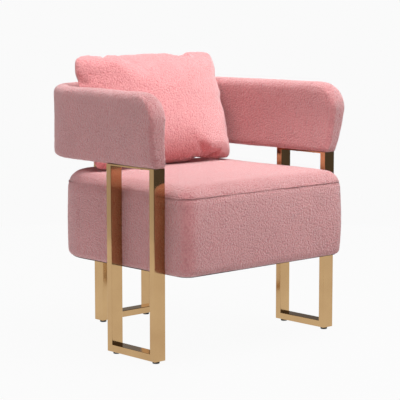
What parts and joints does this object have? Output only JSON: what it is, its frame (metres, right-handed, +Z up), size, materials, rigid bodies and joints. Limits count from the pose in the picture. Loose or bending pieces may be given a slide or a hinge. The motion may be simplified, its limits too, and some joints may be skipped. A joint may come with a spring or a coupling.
{
  "type": "upholstered armchair",
  "caption": "Low upholstered armchair: thick seat block, wraparound arm and back band, loose pillow, on flat-tube metal leg frames.",
  "frame": {"origin": "on the floor, under the middle of the chair's bounding box", "axes": "+X to the right as seen from the front, +Y towards the back, +Z up; the chair faces -Y"},
  "size_m": [0.7102, 0.62, 0.7846],
  "materials": {
    "pink_boucle": "short looped pile, matt",
    "gold_metal": "polished warm gold plating over steel tube",
    "glide_plastic": "matt black moulded nylon",
    "zinc_steel": "bright zinc plated",
    "screw_steel": "black oxide",
    "foam": "open cell polyurethane foam",
    "wadding": "polyester wadding",
    "dust_cloth": "thin black non-woven cloth",
    "fibreboard": "bare fibreboard",
    "plywood": "bare plywood and hardwood",
    "zip_tape": "woven tape with nylon coil",
    "zip_metal": "painted pink"
  },
  "bodies": {
    "chair": {"back_frame_foot_bar": "gold_metal", "back_frame_left_post": "gold_metal", "back_frame_right_post": "gold_metal", "back_frame_top_plate": "gold_metal", "band_back_foam": "foam", "band_bottom_rib": "plywood", "band_cover": "pink_boucle", "band_inner_board": "fibreboard", "band_left_arm_foam": "foam", "band_left_corner_foam": "foam", "band_outer_board": "fibreboard", "band_right_arm_foam": "foam", "band_right_corner_foam": "foam", "band_screws": "screw_steel", "band_tee_nuts": "zinc_steel", "band_top_rib": "plywood", "band_uprights": "plywood", "glide_bushes": "zinc_steel", "left_frame_foot_bar": "gold_metal", "left_frame_front_post": "gold_metal", "left_frame_rear_post": "gold_metal", "left_frame_top_plate": "gold_metal", "post_rivet_nuts": "zinc_steel", "right_frame_foot_bar": "gold_metal", "right_frame_front_post": "gold_metal", "right_frame_rear_post": "gold_metal", "right_frame_top_plate": "gold_metal", "seat_back_rail": "plywood", "seat_bolt_washers": "zinc_steel", "seat_bolts": "zinc_steel", "seat_corner_blocks": "plywood", "seat_dust_cover": "dust_cloth", "seat_foam_block": "foam", "seat_front_rail": "plywood", "seat_left_rail": "plywood", "seat_leg_blocks": "plywood", "seat_right_rail": "plywood", "seat_side_cover": "pink_boucle", "seat_side_wadding": "wadding", "seat_spring_clips": "zinc_steel", "seat_spring_felt": "wadding", "seat_springs": "zinc_steel", "seat_top_cover": "pink_boucle"},
    "left_front_glide": {"left_front_glide_pad": "glide_plastic", "left_front_glide_stem": "zinc_steel"},
    "left_rear_glide": {"left_rear_glide_pad": "glide_plastic", "left_rear_glide_stem": "zinc_steel"},
    "right_front_glide": {"right_front_glide_pad": "glide_plastic", "right_front_glide_stem": "zinc_steel"},
    "right_rear_glide": {"right_rear_glide_pad": "glide_plastic", "right_rear_glide_stem": "zinc_steel"},
    "back_left_glide": {"back_left_glide_pad": "glide_plastic", "back_left_glide_stem": "zinc_steel"},
    "back_right_glide": {"back_right_glide_pad": "glide_plastic", "back_right_glide_stem": "zinc_steel"},
    "pillow": {"pillow_insert": "wadding", "pillow_front_cover": "pink_boucle", "pillow_back_cover": "pink_boucle", "pillow_zip_tape": "zip_tape"},
    "zip_slider": {"pillow_zip_slider": "zip_metal"}
  },
  "joints": [
    {"name": "left_front_glide_screw", "type": "slide", "parent": "chair", "child": "left_front_glide", "axis": [0, 0, -1], "range_m": [-0.0012, 0.006]},
    {"name": "left_rear_glide_screw", "type": "slide", "parent": "chair", "child": "left_rear_glide", "axis": [0, 0, -1], "range_m": [-0.0012, 0.006]},
    {"name": "right_front_glide_screw", "type": "slide", "parent": "chair", "child": "right_front_glide", "axis": [0, 0, -1], "range_m": [-0.0012, 0.006]},
    {"name": "right_rear_glide_screw", "type": "slide", "parent": "chair", "child": "right_rear_glide", "axis": [0, 0, -1], "range_m": [-0.0012, 0.006]},
    {"name": "back_left_glide_screw", "type": "slide", "parent": "chair", "child": "back_left_glide", "axis": [0, 0, -1], "range_m": [-0.0012, 0.006]},
    {"name": "back_right_glide_screw", "type": "slide", "parent": "chair", "child": "back_right_glide", "axis": [0, 0, -1], "range_m": [-0.0012, 0.006]},
    {"name": "pillow_lift", "type": "slide", "parent": "chair", "child": "pillow", "axis": [0, 0, 1], "range_m": [0, 0.4]},
    {"name": "zip_pull", "type": "slide", "parent": "pillow", "child": "zip_slider", "axis": [1, 0, 0], "range_m": [0, 0.38]}
  ]
}
